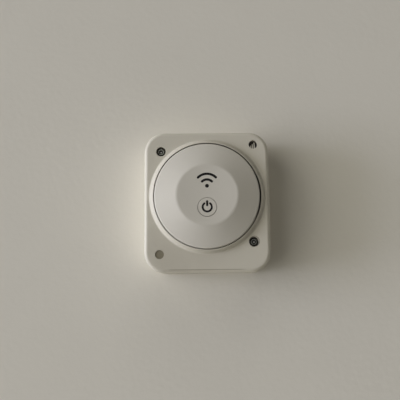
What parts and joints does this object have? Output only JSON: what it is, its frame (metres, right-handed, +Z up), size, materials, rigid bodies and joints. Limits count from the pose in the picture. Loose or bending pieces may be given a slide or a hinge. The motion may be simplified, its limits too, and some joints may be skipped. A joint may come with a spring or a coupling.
{
  "type": "smart light switch",
  "caption": "Surface-mounted smart light switch: rounded square box, raised collar, dished round cap and a small round power button.",
  "frame": {"origin": "middle of the flat back of the box, where it meets the wall", "axes": "+Y points into the wall, so the front faces -Y; +Z is up as it hangs; +X is to the right seen from the front"},
  "size_m": [0.08, 0.0371, 0.09],
  "materials": {
    "housing_white": "moulded, fine satin texture",
    "cap_white": "moulded, smooth satin",
    "plug_beige": "soft matt rubber",
    "grey_rubber": "soft matt rubber",
    "membrane": "felted",
    "dark_steel": "blackened",
    "zinc_steel": "zinc plated",
    "can_steel": "tin plated sheet",
    "brass": "knurled",
    "contact_brass": "plated",
    "board_green": "varnished laminate",
    "black_plastic": "moulded",
    "relay_blue": "moulded case",
    "capacitor_can": "drawn can",
    "varistor_blue": "dipped coating",
    "terminal_green": "moulded"
  },
  "bodies": {
    "housing": {"rear_housing": "housing_white", "cable_grommet": "grey_rubber", "threaded_inserts": "brass", "cover_gasket": "grey_rubber", "front_cover": "housing_white", "vent_membrane": "membrane", "hole_plug": "plug_beige", "cover_screws": "dark_steel", "cap_gasket": "grey_rubber", "round_cap": "cap_white", "control_board": "board_green", "control_board_screws": "zinc_steel", "tact_switch": "black_plastic", "wireless_module": "can_steel", "control_chip": "black_plastic", "link_socket": "black_plastic", "link_header": "contact_brass", "power_board": "board_green", "power_board_screws": "zinc_steel", "relay": "relay_blue", "power_supply_module": "black_plastic", "filter_capacitor": "capacitor_can", "fuse": "black_plastic", "surge_varistor": "varistor_blue", "terminal_block": "terminal_green", "terminal_clamps": "contact_brass", "terminal_screws": "zinc_steel"},
    "power_button": {"power_button": "cap_white"},
    "switch_plunger": {"switch_plunger": "black_plastic"}
  },
  "joints": [
    {"name": "power_button_press", "type": "slide", "parent": "housing", "child": "power_button", "axis": [0, 1, 0], "range_m": [0, 0.0005], "stiffness_N_per_m": 3000},
    {"name": "switch_plunger_press", "type": "slide", "parent": "housing", "child": "switch_plunger", "axis": [0, 1, 0], "range_m": [0, 0.0005]}
  ],
  "couplings": [
    {"joint": "switch_plunger_press", "follows": "power_button_press", "ratio": 1}
  ]
}
